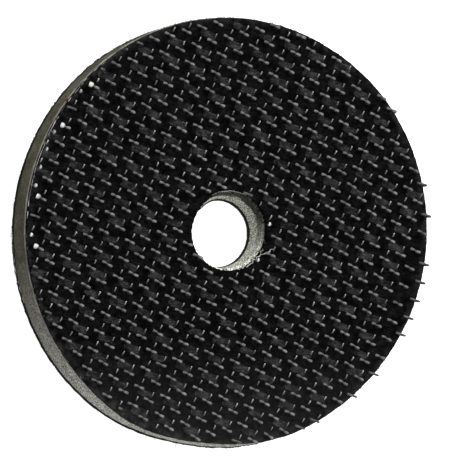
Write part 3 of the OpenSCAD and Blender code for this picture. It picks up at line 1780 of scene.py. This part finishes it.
@dataclass
class HookGround:
    """The woven ground of the hook tape, with its weft floats and frayed edges."""

    layer: Layer
    plan: HookPlan
    picks: int = 3
    relief: float = 0.07 * MM
    rim_round: tuple[float, float] = (0.45 * MM, 0.10 * MM)
    hole_round: tuple[float, float] = (0.3 * MM, 0.06 * MM)
    float_margin: float = 0.9 * MM
    rim_frays: int = 420
    hole_frays: int = 90
    SPREADS: ClassVar[tuple[Hump, ...]] = (
        (4.0, 30.0, 0.14 * MM),
        (36.0, 14.0, 0.12 * MM),
        (243.0, 16.0, 0.46 * MM),
        (287.0, 14.0, 0.26 * MM),
    )
    FRINGES: ClassVar[tuple[Hump, ...]] = ((140.0, 40.0, 0.26 * MM),)

    def build(self, nylon: bpy.types.Material) -> list[bpy.types.Object]:
        """Build and dress the fabric, its floats and its frayed ends.

        Args:
            nylon: The finish of its frayed ends.

        Returns:
            The fabric first, then what lies on it.
        """
        layer = self.layer
        section = layer.section([COARSE, 0.11 * MM, 0.23 * MM, 0.11 * MM])
        fabric = ring_shell("hook_ground_weave", section, FINE_TURNS, self._shape)
        woven = WovenFinish().material(self.plan.angle, layer.outer_r)
        dress(fabric, woven, [layer.node])
        floats = self._floats()
        frays = self._frays(nylon)
        layer.area
        return [fabric, floats, frays]

    def _shape(
        self, radius: np.ndarray, height: np.ndarray, angle: np.ndarray
    ) -> tuple[np.ndarray, np.ndarray]:
        """Raise the weave on the top face and roughen the edges.

        Args:
            radius: The points' distances from the axis.
            height: Their heights.
            angle: Their angles, in radians.

        Returns:
            Their new distances and heights.
        """
        layer = self.layer
        across, along = HookPlan.turned(
            np.stack([(radius * np.cos(angle)).ravel(), (radius * np.sin(angle)).ravel()], 1),
            self.plan.angle,
        ).T
        pick = self.plan.pitch / self.picks
        ridge = np.abs(np.sin(math.pi * along / pick)) ** 0.7
        column = np.cos(math.pi * across / self.plan.row_pitch) * np.where(
            np.floor(along / pick) % 2 == 0, 1.0, -1.0
        )
        weave = (ridge * (0.65 + 0.35 * column)).reshape(radius.shape)
        top = height > layer.high - ON_WALL
        rise = (height - layer.low) / (layer.high - layer.low)
        outer, hole = layer.walls(radius)
        sunk = self.relief * (1.0 - weave)
        for past, (wide, deep) in (
            (radius - layer.outer_r, self.rim_round),
            (layer.hole_r - radius, self.hole_round),
        ):
            sunk = sunk + deep * np.clip(past / wide + 1.0, 0.0, 1.0) ** 2
        height = np.where(top, height - sunk, height)
        rough = 0.03 * MM * ripple(angle, 21, (11, 23, 37, 61, 97, 143))
        layers = 0.02 * MM * np.sin(rise * math.tau * 2.5)
        spread = humps(angle, self.SPREADS)
        radius = np.where(outer, radius - 0.02 * MM + rough + layers + spread, radius)
        fringe = humps(angle, self.FRINGES)
        radius = np.where(hole, radius + rough + layers - fringe, radius)
        return radius, height

    def _floats(self) -> bpy.types.Object:
        """Lay a weft float beside each hook of every other row.

        Returns:
            The floats.
        """
        plan, layer = self.plan, self.layer
        heading = Vector((math.cos(plan.angle), math.sin(plan.angle)))
        along = Vector((-heading.y, heading.x))
        beside = along * (0.70 * MM) - heading * (0.5 * plan.width + 0.22 * MM)
        near, far = layer.hole_r + self.float_margin, layer.outer_r - self.float_margin
        places = []
        for row in plan.rows[::2]:
            for stem in row.stems:
                centre = Vector(stem) + beside
                if near < centre.length < far:
                    places.append((*centre, layer.high - 0.03 * MM))
        # Painted light: the floats take a paler copy of the ground's weave, the same yarn, lit
        # where it lies raised above the ground.
        grey = {"yarn": (0.004, 0.004, 0.0043), "worn": (0.17, 0.17, 0.17), "south_paling": 0.06}
        finish = WovenFinish("weft_float_painted_light", **grey).material(plan.angle, layer.outer_r)
        floats = FloatTree().grow("weft_floats", np.array(places), plan.angle, finish)
        dress(floats, finish)
        return floats

    def _frays(self, nylon: bpy.types.Material) -> bpy.types.Object:
        """Fray the fabric's two cut edges.

        Args:
            nylon: The finish of the frayed ends.

        Returns:
            The frayed ends.
        """
        layer = self.layer
        random = np.random.default_rng(41)
        points, turns = [], []
        for radius, count, out in (
            (layer.outer_r - 0.05 * MM, self.rim_frays, 0.0),
            (layer.hole_r + 0.05 * MM, self.hole_frays, math.pi),
        ):
            for angle in random.uniform(0.0, math.tau, count):
                height = random.uniform(layer.low + 0.1 * MM, layer.high - 0.08 * MM)
                points.append((radius * math.cos(angle), radius * math.sin(angle), height))
                turns.append(angle + out)
        controls = in_mm((-0.1, 0, 0), (0.08, 0.02, 0), (0.14, -0.02, 0.05), (0.26, 0.06, 0.05))
        tree = StrandTree("fray_strands", [Strand(controls, 5, strain_and_glint_from=0.6, strain_and_glint=0.3)])
        sizes = {
            "Filament Radius": 0.035 * MM,
            "Foot Height": layer.low,
            "Full Height": 2.0 * MM,
            "Sway": 0.1 * MM,
            "Sway Size": 0.4 * MM,
            "Turn Spread": 0.9,
            "Lean Spread": 0.5,
            "Size Spread": 0.5,
            "Taper": 0.6,
            "Sides": 4,
            "Seed": 9,
        }
        kinds = [0] * len(points)
        frays = tree.grow("edge_frays", np.array(points), kinds, turns, nylon, sizes)
        dress(frays, nylon)
        return frays



@dataclass
class Hooks:
    """The nylon hooks, their cut legs, and the hooks that the die cut through."""

    plan: HookPlan
    ground: Layer
    leg_lean: tuple[float, float, float] = (-0.10, 0.40, 0.40)
    stem_lean: float = 0.12 * MM
    twist: float = -0.05
    swell: float = 1.28
    over_rim: tuple[float, float] = (0.16 * MM, 0.34 * MM)
    foot_margin: float = 0.12 * MM
    hang_out: float = 1.2 * MM
    push_out: float = 0.3 * MM
    SQUARE: ClassVar[float] = 0.88
    OUTWARD: ClassVar[float] = 0.5
    REACH: ClassVar[int] = 14
    STATIONS: ClassVar[int] = 40
    CROWN: ClassVar[int] = 16
    RINGS: ClassVar[int] = 15
    SIDES: ClassVar[int] = 6

    @property
    def reach(self) -> float:
        """How far a hook's tip lies from its stem, middle to middle."""
        return self.plan.width - 2.0 * self.plan.filament_r

    def hook(self, tip_glint: float = 0.0) -> Strand:
        """Shape one hook, from its stem's foot to its tip.

        Args:
            tip_glint: How flared its tip is, and how much painted glint whitens it.

        Returns:
            The strand, with its foot at the origin.
        """
        plan, reach, lean = self.plan, self.reach, self.stem_lean
        height = plan.tip_height - plan.foot - plan.filament_r
        controls = (
            Vector((0.0, 0.0, -0.12 * MM)),
            Vector((lean + 0.05 * MM, 0.0, 1.3 * height)),
            Vector((lean - 0.12 * reach, 0.0, 1.18 * height)),
            Vector((-reach, 0.0, 0.64 * height)),
        )
        return Strand(
            controls,
            18,
            # Painted glint on the tip and painted highlight on the two lobes of the crown.
            strain_and_glint_from=0.78,
            strain_and_glint=0.04 + 1.2 * tip_glint,
            flare=0.9 * tip_glint,
            kink=0.08 * MM,
            lobe_highlight=0.18,
            waist=0.40,
        )

    def leg(self) -> Strand:
        """Shape one cut leg.

        Returns:
            The strand, with its foot at the origin.
        """
        lean = Vector(self.leg_lean) * MM
        foot = Vector((0.0, -0.06, -0.1)) * MM
        controls = (foot, lean * 0.3, lean * 0.7, lean)
        # Painted highlight: the cut leg is whitened along its length.
        return Strand(controls, 6, strain_and_glint_from=0.0, strain_and_glint=0.75, width=0.48)

    def build(self, nylon: bpy.types.Material) -> list[bpy.types.Object]:
        """Build and dress all the rows and the cut hooks.

        Args:
            nylon: The finish of the filaments.

        Returns:
            The pieces.
        """
        tree = StrandTree("hook_strands", [self.hook(), self.leg(), self.hook(1.0)])
        plan = self.plan
        sizes = {
            "Filament Radius": self.swell * plan.filament_r,
            "Foot Height": plan.foot,
            "Full Height": plan.tip_height - plan.foot,
            "Sway": 0.2 * MM,
            "Sway Size": 1.3 * MM,
            "Turn Spread": 0.07,
            "Lean Spread": 0.05,
            "Size Spread": 0.05,
            "Sides": self.SIDES,
            "Taper": 1.06,
        }
        pieces = []
        for number, row in enumerate(plan.rows):
            feet = np.concatenate([row.stems, row.legs])
            points = np.hstack([feet, np.full((len(feet), 1), plan.foot)])
            kinds = [self._kind(stem) for stem in row.stems] + [1] * len(row.legs)
            turns = [plan.angle + self.twist] * len(feet)
            sizes["Seed"] = 100 + 7 * number
            pushes = self._pushes(feet, len(row.stems), number)
            piece = tree.grow(row.node + "_nylon", points, kinds, turns, nylon, sizes, pushes)
            dress(piece, nylon, [row.node])
            pieces.append(piece)
        pieces.append(self._cut_through(nylon))
        return pieces

    def _kind(self, stem: np.ndarray) -> int:
        """Choose between a hook whose tip is flared and whitened as a painted glint and a plain
        one.

        Args:
            stem: Where the hook's stem stands, in X and Y.

        Returns:
            2 for a tip with a painted glint, or 0.
        """
        plan, ground = self.plan, self.ground
        heading = np.array([math.cos(plan.angle), math.sin(plan.angle)])
        radius = float(np.hypot(*(stem - heading * self.reach)))
        facing = float(stem @ heading / np.hypot(*stem))
        # Painted glint: only tips on the rim's upper left and the hole's right side are whitened,
        # where their cut ends face the light.
        rim = radius > ground.outer_r - 0.6 * MM and facing < -self.SQUARE
        hole = radius < ground.hole_r + 0.3 * MM and facing > self.SQUARE
        return 2 if rim or hole else 0

    def _pushes(self, feet: np.ndarray, stems: int, seed: int) -> np.ndarray:
        """Bend the hooks next to an edge out over it.

        Args:
            feet: Where the row's strands stand, the stems first.
            stems: How many stems there are.
            seed: Which random bends.

        Returns:
            How far each strand's top is bent aside.
        """
        random = np.random.default_rng(500 + seed)
        radius = np.hypot(*feet.T)[:, None]
        outwards = np.hstack([feet / radius, np.zeros((len(feet), 1))])
        rim = np.clip((radius - self.ground.outer_r + 0.75 * MM) / (0.5 * MM), 0.0, 1.0)
        hole = np.clip((self.ground.hole_r + 0.6 * MM - radius) / (0.4 * MM), 0.0, 1.0)
        heading = np.array([math.cos(self.plan.angle), math.sin(self.plan.angle), 0.0])
        facing = (outwards @ heading)[:, None]
        over = np.clip(facing, 0.0, 1.0) * rim + 0.8 * np.clip(-facing, 0.0, 1.0) * hole
        bend = random.uniform(0.3, 0.62, (len(feet), 1)) * MM * over * np.sign(facing)
        bend[stems:] *= 0.5
        return outwards * bend

    def _cut_through(self, nylon: bpy.types.Material) -> bpy.types.Object:
        """Build the hooks at an edge that the die cut or pushed over.

        Args:
            nylon: Their finish.

        Returns:
            The piece.
        """
        plan = self.plan
        heading = Vector((math.cos(plan.angle), math.sin(plan.angle), 0.0))
        along = Vector((-heading.y, heading.x, 0.0))
        parts, strains_and_glints = [], []
        for across, start, stems in plan.lines():
            for step in range(-self.REACH, self.REACH + 1):
                place = start + step * plan.pitch
                if len(stems) and np.abs(stems - place).min() < 0.3 * plan.pitch:
                    continue
                strand = self._at_edge(heading * across + along * place, heading)
                if strand:
                    parts.append(strand[0])
                    strains_and_glints.append(strand[1])
        cut = merge("cut_hooks", parts, strains_and_glints)
        dress(cut, nylon)
        return cut

    def _at_edge(
        self, foot: Vector, heading: Vector
    ) -> tuple[Shape, list[float]] | None:
        """Build one hook that stands too near an edge to be whole or upright.

        Args:
            foot: Where the hook's stem would stand.
            heading: The direction across the rows.

        Returns:
            Its shape and how much painted glint whitens each vertex, or None if it is cut away.
        """
        plan, ground = self.plan, self.ground
        facing = foot.normalized().dot(heading)
        beyond = self.over_rim[facing > self.OUTWARD]
        edge = self.foot_margin
        if not ground.hole_r - edge < foot.length < ground.outer_r + beyond:
            return None
        rim = foot.length > 0.5 * ground.outer_r
        if rim:
            length = min(foot.length, ground.outer_r - edge)
        else:
            length = max(foot.length, ground.hole_r + edge)
        foot = foot.normalized() * length
        foot.z = plan.foot
        turn = Matrix.Rotation(plan.angle, 3, "Z")
        controls = [turn @ point for point in self.hook().controls]
        past_crown = bezier(controls, self.STATIONS)[self.CROWN :]
        over = max(0.0, facing - self.OUTWARD) * self.hang_out if rim else 0.0
        low, high = ground.hole_r - 0.1 * MM, ground.outer_r + over
        inside = [low < (foot + point).xy.length < high for point in past_crown]
        kept = inside.index(False) if False in inside else len(inside)
        if kept < 2:
            return None
        share = (self.CROWN + kept) / self.STATIONS
        whole = kept == len(inside)
        bend = Vector((0.0, 0.0, 0.0))
        if whole and rim:
            push = min(1.0, max(0.0, (facing - self.OUTWARD) / 0.3))
            bend = foot.normalized() * self.push_out * push
            bend.z = 0.0
        height = plan.tip_height - plan.foot
        line = [
            foot + point + bend * point.z / height
            for point in bezier(controls, self.RINGS, share)
        ]
        # Painted glint: cut hooks on the rim's upper left and the hole's right side get a white
        # tip.
        square = facing < -self.SQUARE if rim else facing > self.SQUARE
        tip_glint = 1.0 if square and not whole else 0.1
        marks = [0.0] * (self.RINGS - 4) + [0.1, 0.9, 1.0, 1.0]
        radii = [(1.1 + tip_glint * mark) * plan.filament_r for mark in marks]
        strain_and_glint = [tip_glint * mark for mark in marks for _ in range(self.SIDES)]
        return tube(line, radii, self.SIDES), strain_and_glint


@dataclass
class LoopFabric:
    """The brushed loop fabric on the back, with its pile."""

    layer: Layer
    slant: Slant
    pile: float = 0.2 * MM
    loops: int = 3400
    fluff: int = 700
    SPREADS: ClassVar[tuple[Hump, ...]] = ((234.0, 20.0, 0.09 * MM),)

    def build(self) -> list[bpy.types.Object]:
        """Build and dress the fabric and its pile.

        Returns:
            The fabric and its pile.
        """
        layer = self.layer
        section = layer.section([0.45 * MM, 0.12 * MM, COARSE, 0.12 * MM], self.pile)
        base = ring_shell("loop_fabric_base", section, PLAIN_TURNS, self._shape)
        self.slant.lean(base)
        dress(base, LOOP_BASE.material(), [layer.node])
        pile = self._pile()
        self.slant.lean(pile)
        layer.area
        return [base, pile]

    def _shape(
        self, radius: np.ndarray, height: np.ndarray, angle: np.ndarray
    ) -> tuple[np.ndarray, np.ndarray]:
        """Make the back face lumpy and the edges soft.

        Args:
            radius: The points' distances from the axis.
            height: Their heights.
            angle: Their angles, in radians.

        Returns:
            Their new distances and heights.
        """
        layer = self.layer
        back = height < layer.low + self.pile + ON_WALL
        x, y = radius * np.cos(angle), radius * np.sin(angle)
        lumps = np.sin(x * 4100.0 + 1.3 * np.sin(y * 1700.0)) * np.sin(
            y * 3700.0 + 1.1 * np.sin(x * 1900.0)
        )
        height = np.where(back, height + 0.05 * MM * lumps, height)
        outer, hole = layer.walls(radius)
        rough = 0.04 * MM * ripple(angle, 31, (3, 8, 21, 39, 67, 101))
        wide = humps(angle, self.SPREADS)
        radius = np.where(outer, radius + rough + wide - self.slant.flat(angle), radius)
        bore = radius - 0.25 * MM + 0.5 * rough - self.slant.nip(angle)
        return np.where(hole, bore, radius), height

    def _pile(self) -> bpy.types.Object:
        """Brush small loops all over the back face and out of its rim.

        Returns:
            The pile.
        """
        layer = self.layer
        rim_r = layer.outer_r - 0.1 * MM
        random = np.random.default_rng(77)
        radius = np.sqrt(random.uniform(layer.hole_r**2, rim_r**2, self.loops))
        angle = random.uniform(0.0, math.tau, self.loops)
        height = np.full(self.loops, layer.low + self.pile + 0.02 * MM)
        rim = random.uniform(0.0, math.tau, self.fluff)
        rim_h = random.uniform(layer.low + 0.3 * MM, layer.high - 0.1 * MM, self.fluff)
        radii = np.concatenate([radius, rim_r - self.slant.flat(rim)])
        angles = np.concatenate([angle, rim])
        heights = np.concatenate([height, rim_h])
        points = np.stack([radii * np.cos(angles), radii * np.sin(angles), heights], axis=1)
        kinds = [0] * self.loops + [1] * self.fluff
        turns = np.concatenate([random.uniform(0.0, math.tau, self.loops), rim])
        loop = Strand(
            in_mm((0, 0, 0.05), (0.1, 0.1, -0.27), (0.5, -0.1, -0.25), (0.55, 0.05, 0.05)), 6
        )
        fluff = Strand(
            in_mm((-0.05, 0, 0), (0.15, 0.15, 0.08), (0.2, -0.25, -0.05), (-0.02, -0.3, 0)), 6
        )
        sizes = {
            "Filament Radius": 0.028 * MM,
            "Foot Height": layer.low + self.pile,
            "Full Height": 1.0 * MM,
            "Sway": 0.4 * MM,
            "Sway Size": 0.5 * MM,
            "Turn Spread": 0.5,
            "Lean Spread": 0.25,
            "Size Spread": 0.2,
            "Sides": 4,
            "Seed": 12,
        }
        yarn = LOOP_YARN.material()
        tree = StrandTree("pile_strands", [loop, fluff])
        pile = tree.grow("loop_pile", points, kinds, turns, yarn, sizes)
        dress(pile, yarn)
        return pile

@dataclass(frozen=True)
class Thread:
    """One loose thread that lies along an edge, its angles in degrees."""

    radius: float
    end_radius: float
    start: float
    end: float
    height: float
    thick: float
    waves: float
    seed: int

    def tube(self) -> Shape:
        """Shape the thread.

        Returns:
            Its vertices and faces.
        """
        count = max(5, min(44, int((self.end - self.start) * 1.2)))
        share = np.linspace(0.0, 1.0, count)
        turns = np.radians(self.start + (self.end - self.start) * share)
        radius = self.radius + (self.end_radius - self.radius) * share
        radius += ripple(turns * 9.0, self.seed, (2, 5, 7)) * self.waves * self.thick * MM
        lift = self.height + ripple(turns * 9.0, self.seed + 20, (3, 4, 8)) * 0.04 * MM
        points = np.stack([radius * np.cos(turns), radius * np.sin(turns), lift], axis=1)
        radii = [self.thick * MM * math.sin(math.pi * (0.06 + 0.88 * at)) for at in share]
        return tube([Vector(point) for point in points], radii, 5)


@dataclass
class EdgeScraps:
    """Loose fibres, pale bits along the edges that are painted glints and highlights, and one scrap
    of backing that the die left on the edges.
    """

    face: Layer
    foam: Layer
    FLECK_AT: ClassVar[float] = 143.0

    def build(self) -> list[bpy.types.Object]:
        """Build and dress the scraps.

        Returns:
            The scraps.
        """
        strand = self._fibres_and_edge_glints()
        dress(strand, PALE_FIBRE_AND_GLINT.material())
        fleck = self._fleck()
        dress(fleck, RUST_SCRAP.material())
        return [strand, fleck]

    def _fibres_and_edge_glints(self) -> bpy.types.Object:
        """Lay pale threads along parts of the two edges: loose threads of film by the hole, and a
        pale line on the hole's north edge and bits on the rim's top edge that are painted
        highlights and glints.

        Returns:
            The threads.
        """
        face, foam = self.face, self.foam
        hole, rim, top = face.hole_r, face.outer_r, face.high
        runs = (
            Thread(hole - 0.05 * MM, hole + 0.05 * MM, -76.0, -26.0, top + 0.05 * MM, 0.05, 4.0, 3),
            Thread(hole + 0.02 * MM, hole + 1.25 * MM, -36.0, -20.0, top + 0.20 * MM, 0.05, 2.5, 9),
            # Painted highlight: a thin pale line along the hole's north edge.
            Thread(hole - 0.05 * MM, hole - 0.02 * MM, 62.0, 118.0, top - 0.02 * MM, 0.025, 1.5, 4),
            # Painted glints: short pale bits along the fabric's top edge on the upper left.
            *self._broken(rim + 0.04 * MM, 150.0, 178.0, top - 0.04 * MM, 5),
            *self._broken(rim - 0.02 * MM, 128.0, 176.0, top - 0.16 * MM, 6),
            *self._broken(foam.outer_r - 0.04 * MM, 181.0, 200.0, foam.low + 0.25 * MM, 7),
            *self._broken(rim + 0.10 * MM, 214.0, 240.0, face.low - 0.10 * MM, 8),
        )
        return merge("edge_threads_and_glints", [run.tube() for run in runs])

    @staticmethod
    def _broken(
        radius: float, start: float, end: float, height: float, seed: int
    ) -> list[Thread]:
        """Break a long thread into short bits with gaps between them.

        Args:
            radius: Its distance from the axis.
            start: The angle at which it starts, in degrees.
            end: The angle at which it ends.
            height: Its height.
            seed: Which random bits.

        Returns:
            The bits.
        """
        random = np.random.default_rng(seed)
        bits = []
        angle = start
        while angle < end:
            wide = random.uniform(0.8, 3.2)
            thick = random.uniform(0.018, 0.04)
            out = radius + random.normal(0.0, 0.02 * MM)
            lift = height + random.normal(0.0, 0.03 * MM)
            wave = int(angle * 7.0)
            bits.append(Thread(out, out, angle, angle + wide, lift, thick, 1.2, wave))
            angle += wide + random.uniform(0.2, 1.6)
        return bits

    def _fleck(self) -> bpy.types.Object:
        """Crumple a small scrap on the rim.

        Returns:
            The scrap.
        """
        random = np.random.default_rng(5)
        angle = math.radians(self.FLECK_AT)
        radius = self.face.outer_r + 0.1 * MM
        base = Vector((radius * math.cos(angle), radius * math.sin(angle), self.face.low))
        radii = [thick * MM for thick in (0.02, 0.04, 0.035, 0.04, 0.03, 0.015)]
        parts = []
        for _ in range(7):
            path = [base + Vector(random.normal(0.0, 0.09 * MM, 3))]
            for _ in radii[1:]:
                path.append(path[-1] + Vector(random.normal(0.0, 0.1 * MM, 3)))
            parts.append(tube(path, radii, 5))
        return merge("rim_scrap", parts)


# --------------------------------------------------------------------------
# Studio
# --------------------------------------------------------------------------


class LampSide(Enum):
    """The soft lamps round the pad, by where each one stands."""

    RIGHT = "right"
    LEFT = "left"
    BEHIND = "behind"
    FRONT = "front"


@dataclass(frozen=True)
class Lamp:
    """One soft rectangular lamp."""

    side: LampSide
    direction: tuple[float, float, float]
    size: tuple[float, float]
    brightness: float
    distance: float = 0.9


@dataclass
class Studio:
    """The floor, the lamps and the camera."""

    tilt: float = math.radians(20.45)
    roll: float = math.radians(0.72)
    distance: float = 0.78
    lens: float = 513.0
    slide: tuple[float, float] = (0.65 * MM, -0.22 * MM)
    aim: Vector = field(default_factory=lambda: Vector((0.0, 0.0, 3.0 * MM)))
    ambient: float = 0.28
    lamps: tuple[Lamp, ...] = (
        Lamp(LampSide.RIGHT, (0.42, 0.12, 0.90), (0.34, 0.9), 4.2),
        Lamp(LampSide.LEFT, (-0.16, 0.15, 0.97), (0.30, 0.9), 2.6),
        Lamp(LampSide.BEHIND, (0.0, 1.0, 0.75), (0.6, 0.5), 4.2),
        Lamp(LampSide.FRONT, (0.25, -1.0, 0.28), (0.5, 0.5), 3.0),
    )
    SWEEP: ClassVar[tuple[tuple[float, float], ...]] = (
        (0.002, 0.0),
        (1.6, 0.0),
        (1.9, 0.05),
        (2.1, 0.2),
        (2.2, 0.5),
        (2.25, 1.6),
    )
    SWEEP_TURNS: ClassVar[int] = 72
    FLOOR_AT: ClassVar[float] = -0.05 * MM

    def build(self) -> None:
        """Set up the floor, the lamps, the surroundings and the camera."""
        self._floor()
        for lamp in self.lamps:
            self._lamp(lamp)
        world = bpy.data.worlds.new("studio")
        world.use_nodes = True
        grey = (self.ambient, self.ambient, self.ambient, 1.0)
        world.node_tree.nodes["Background"].inputs["Color"].default_value = grey
        bpy.context.scene.world = world
        bpy.context.scene.view_settings.view_transform = "Standard"
        self._camera()

    def _floor(self) -> None:
        """Lay a wide white floor that curves up far away."""
        count, turns = len(self.SWEEP), self.SWEEP_TURNS
        vertices = [(0.0, 0.0, self.FLOOR_AT)]
        for number in range(turns):
            angle = math.tau * number / turns
            vertices += [
                (r * math.cos(angle), r * math.sin(angle), h + self.FLOOR_AT)
                for r, h in self.SWEEP
            ]
        faces: list[list[int]] = []
        for number in range(turns):
            here, there = 1 + number * count, 1 + (number + 1) % turns * count
            faces.append([0, here, there])
            faces += [
                [here + n, here + n + 1, there + n + 1, there + n] for n in range(count - 1)
            ]
        mesh = bpy.data.meshes.new("floor")
        mesh.from_pydata(vertices, [], faces)
        mesh.shade_smooth()
        floor = bpy.data.objects.new("floor", mesh)
        bpy.context.scene.collection.objects.link(floor)
        floor.data.materials.append(FloorFinish().material())
        floor.visible_diffuse = False
        floor.visible_glossy = False
        floor.visible_shadow = False

    def _lamp(self, lamp: Lamp) -> None:
        """Hang one lamp, aimed at the pad.

        Args:
            lamp: The lamp.
        """
        data = bpy.data.lights.new("lamp_" + lamp.side.value, "AREA")
        data.shape = "RECTANGLE"
        data.size, data.size_y = lamp.size
        data.energy = lamp.brightness * math.pi * lamp.size[0] * lamp.size[1]
        holder = bpy.data.objects.new(data.name, data)
        towards = Vector(lamp.direction).normalized()
        holder.location = self.aim + towards * lamp.distance
        holder.rotation_euler = towards.to_track_quat("Z", "Y").to_euler()
        bpy.context.scene.collection.objects.link(holder)

    def _camera(self) -> None:
        """Place the camera."""
        back = Vector((-math.sin(self.tilt), 0.0, math.cos(self.tilt)))
        level = Vector((math.cos(self.tilt), 0.0, math.sin(self.tilt)))
        north = Vector((0.0, 1.0, 0.0))
        right = level * math.cos(self.roll) + north * math.sin(self.roll)
        up = north * math.cos(self.roll) - level * math.sin(self.roll)
        data = bpy.data.cameras.new("camera")
        data.lens = self.lens
        data.clip_start = 0.01
        data.clip_end = 20.0
        camera = bpy.data.objects.new("camera", data)
        turn = Matrix((right, up, back)).transposed().to_4x4()
        place = self.aim + back * self.distance + right * self.slide[0] + up * self.slide[1]
        camera.matrix_world = Matrix.Translation(place) @ turn
        bpy.context.scene.collection.objects.link(camera)
        bpy.context.scene.camera = camera


# --------------------------------------------------------------------------
# The pad
# --------------------------------------------------------------------------


def build_pad(frame: dict) -> None:
    """Build the pad's pieces, from the back to the face.

    Args:
        frame: The loaded frame.
    """
    loops, rear, core, front, coat, ground = (
        Layer.of(frame, node)
        for node in (
            "loop_fabric",
            "rear_adhesive_film",
            "foam_core",
            "front_adhesive_film",
            "hook_binder_coat",
            "hook_ground_fabric",
        )
    )
    plan = HookPlan.of(frame)
    LOG.info(
        "rows %d, heading %.2f degrees, pitch %.3f mm, width %.3f mm, filament %.3f mm",
        len(plan.rows),
        math.degrees(plan.angle),
        plan.pitch / MM,
        plan.width / MM,
        2.0 * plan.filament_r / MM,
    )
    slant = Slant(core.high)
    film, resin = GLUE_FILM.material(), BINDER_RESIN.material()
    nylon = FilamentFinish().material()
    LoopFabric(loops, slant).build()
    ThinRing("rear_film", rear, -0.16 * MM, 51, slant).build(film, "adhesive_film")
    FoamCore(core, ground.outer_r + 0.05 * MM, slant).build()
    ThinRing("front_film", front, 0.06 * MM, 52, slant).build(film, "adhesive_film")
    ThinRing("binder_coat", coat, -0.06 * MM, 53, slant).build(resin, "binder_coat")
    HookGround(ground, plan).build(nylon)
    Hooks(plan, ground).build(nylon)
    EdgeScraps(ground, core).build()


def main() -> None:
    """Build the pad's pieces in order, then the studio round it."""
    logging.basicConfig(level=logging.INFO, format="%(name)s: %(message)s")
    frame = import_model()
    build_pad(frame)
    Studio().build()


if __name__ == "__main__":
    main()
